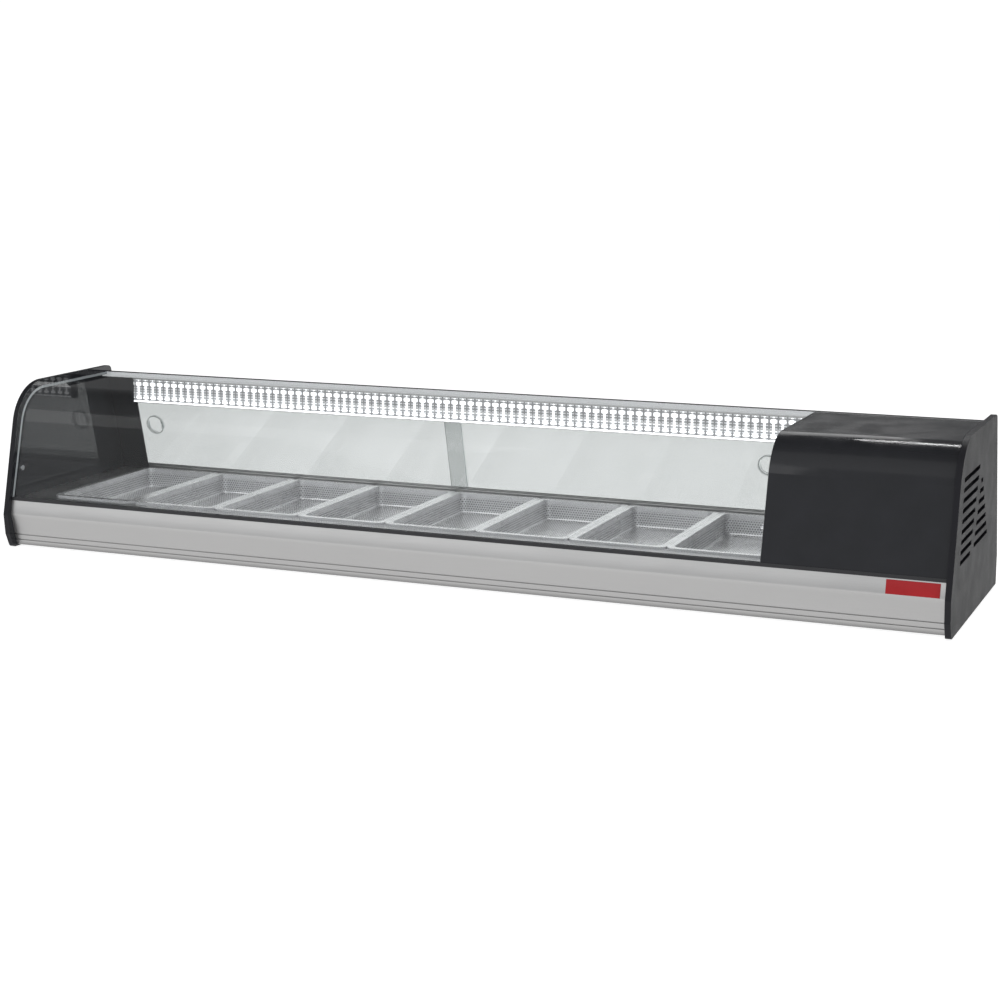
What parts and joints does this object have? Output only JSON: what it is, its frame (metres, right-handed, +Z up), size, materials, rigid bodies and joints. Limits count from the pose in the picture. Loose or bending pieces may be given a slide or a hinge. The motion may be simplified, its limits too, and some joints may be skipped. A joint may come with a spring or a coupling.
{
  "type": "refrigerated deli case",
  "caption": "Counter-top refrigerated deli case with a curved glass front, lift-out food pans, sliding rear doors and a compressor compartment at the right end.",
  "frame": {"origin": "centre of the footprint on the counter, under the middle of the overall size", "axes": "+X to the right end with the compressor, seen from the customer; +Y to the rear, serving side; +Z up"},
  "size_m": [1.795, 0.42, 0.31],
  "materials": {
    "anodised_aluminium": "satin",
    "dark_aluminium": "satin",
    "charcoal_plastic": "satin",
    "black_gloss": "gloss",
    "black_rubber": "matte",
    "toughened_glass": "polished",
    "clear_acrylic": "polished",
    "ribbed_acrylic": "ribbed",
    "stainless_steel": "brushed",
    "pan_steel": "polished",
    "galvanised_steel": "spangled",
    "dark_steel": "textured",
    "insulation_foam": "matte",
    "copper": "satin",
    "circuit_board": "satin",
    "led_emitter": "glowing",
    "black_enamel": "gloss",
    "fin_aluminium": "satin",
    "fan_plastic": "satin",
    "button_rubber": "matte",
    "rocker_green": "gloss",
    "badge_red": "gloss",
    "chromed_steel": "polished"
  },
  "bodies": {
    "case": {"bottom_tray": "galvanised_steel", "foam_insulation": "insulation_foam", "inner_tub": "stainless_steel", "front_extrusion": "anodised_aluminium", "glass_seat_strip": "black_rubber", "end_panel_left": "charcoal_plastic", "end_panel_right": "charcoal_plastic", "curved_front_glass": "toughened_glass", "compressor_cover": "black_gloss", "compartment_bulkhead": "charcoal_plastic", "rear_top_rail": "dark_aluminium", "rear_bottom_rail": "anodised_aluminium", "rear_skirt": "stainless_steel", "rear_service_panel": "dark_steel", "led_channel": "anodised_aluminium", "led_board": "circuit_board", "led_diodes": "led_emitter", "lamp_lens": "ribbed_acrylic", "lamp_end_caps": "charcoal_plastic", "rear_corner_post": "charcoal_plastic", "perforated_deck": "stainless_steel", "evaporator_coil": "copper", "drain_spout": "stainless_steel", "compressor_shell": "black_enamel", "compressor_base": "galvanised_steel", "compressor_grommets": "black_rubber", "compressor_terminal_box": "charcoal_plastic", "condenser_fins": "fin_aluminium", "condenser_tubes": "copper", "fan_shroud": "galvanised_steel", "fan_motor": "black_enamel", "fan_bracket": "galvanised_steel", "filter_drier": "copper", "suction_line": "copper", "discharge_line": "copper", "capillary_tube": "copper", "thermostat_body": "charcoal_plastic", "switch_housings": "charcoal_plastic", "cable_gland": "charcoal_plastic", "feet": "black_rubber", "badge_plate": "badge_red", "glass_studs": "chromed_steel", "service_panel_screws": "chromed_steel"},
    "sliding_door_left": {"door_left": "clear_acrylic", "door_left_grip": "clear_acrylic"},
    "sliding_door_right": {"door_right": "clear_acrylic", "door_right_grip": "clear_acrylic"},
    "pan_1_loose": {"pan_1": "pan_steel"},
    "pan_2_loose": {"pan_2": "pan_steel"},
    "pan_3_loose": {"pan_3": "pan_steel"},
    "pan_4_loose": {"pan_4": "pan_steel"},
    "pan_5_loose": {"pan_5": "pan_steel"},
    "pan_6_loose": {"pan_6": "pan_steel"},
    "pan_7_loose": {"pan_7": "pan_steel"},
    "pan_8_loose": {"pan_8": "pan_steel"},
    "fan_rotor": {"fan_blades": "fan_plastic"},
    "button_set_key": {"button_set": "button_rubber"},
    "button_up_key": {"button_up": "button_rubber"},
    "button_down_key": {"button_down": "button_rubber"},
    "power_rocker_key": {"power_rocker": "rocker_green"},
    "light_rocker_key": {"light_rocker": "rocker_green"}
  },
  "joints": [
    {"name": "door_left_slide", "type": "slide", "parent": "case", "child": "sliding_door_left", "axis": [1, 0, 0], "range_m": [0, 0.688]},
    {"name": "door_right_slide", "type": "slide", "parent": "case", "child": "sliding_door_right", "axis": [1, 0, 0], "range_m": [-0.742, 0]},
    {"name": "pan_1_lift", "type": "slide", "parent": "case", "child": "pan_1_loose", "axis": [0, 0, 1], "range_m": [0, 0.018]},
    {"name": "pan_2_lift", "type": "slide", "parent": "case", "child": "pan_2_loose", "axis": [0, 0, 1], "range_m": [0, 0.018]},
    {"name": "pan_3_lift", "type": "slide", "parent": "case", "child": "pan_3_loose", "axis": [0, 0, 1], "range_m": [0, 0.018]},
    {"name": "pan_4_lift", "type": "slide", "parent": "case", "child": "pan_4_loose", "axis": [0, 0, 1], "range_m": [0, 0.018]},
    {"name": "pan_5_lift", "type": "slide", "parent": "case", "child": "pan_5_loose", "axis": [0, 0, 1], "range_m": [0, 0.018]},
    {"name": "pan_6_lift", "type": "slide", "parent": "case", "child": "pan_6_loose", "axis": [0, 0, 1], "range_m": [0, 0.018]},
    {"name": "pan_7_lift", "type": "slide", "parent": "case", "child": "pan_7_loose", "axis": [0, 0, 1], "range_m": [0, 0.018]},
    {"name": "pan_8_lift", "type": "slide", "parent": "case", "child": "pan_8_loose", "axis": [0, 0, 1], "range_m": [0, 0.018]},
    {"name": "fan_spin", "type": "hinge", "parent": "case", "child": "fan_rotor", "pos_m": [0.812, 0.02, 0.135], "axis": [1, 0, 0], "continuous": true},
    {"name": "button_set_press", "type": "slide", "parent": "case", "child": "button_set_key", "axis": [0, -0.9744, -0.225], "range_m": [0, 0.0008], "stiffness_N_per_m": 400},
    {"name": "button_up_press", "type": "slide", "parent": "case", "child": "button_up_key", "axis": [0, -0.9744, -0.225], "range_m": [0, 0.0008], "stiffness_N_per_m": 400},
    {"name": "button_down_press", "type": "slide", "parent": "case", "child": "button_down_key", "axis": [0, -0.9744, -0.225], "range_m": [0, 0.0008], "stiffness_N_per_m": 400},
    {"name": "power_rocker_tilt", "type": "hinge", "parent": "case", "child": "power_rocker_key", "pos_m": [0.79, 0.16487, 0.18826], "axis": [1, 0, 0], "range_deg": [0, 16]},
    {"name": "light_rocker_tilt", "type": "hinge", "parent": "case", "child": "light_rocker_key", "pos_m": [0.826, 0.16487, 0.18826], "axis": [1, 0, 0], "range_deg": [0, 16]}
  ]
}
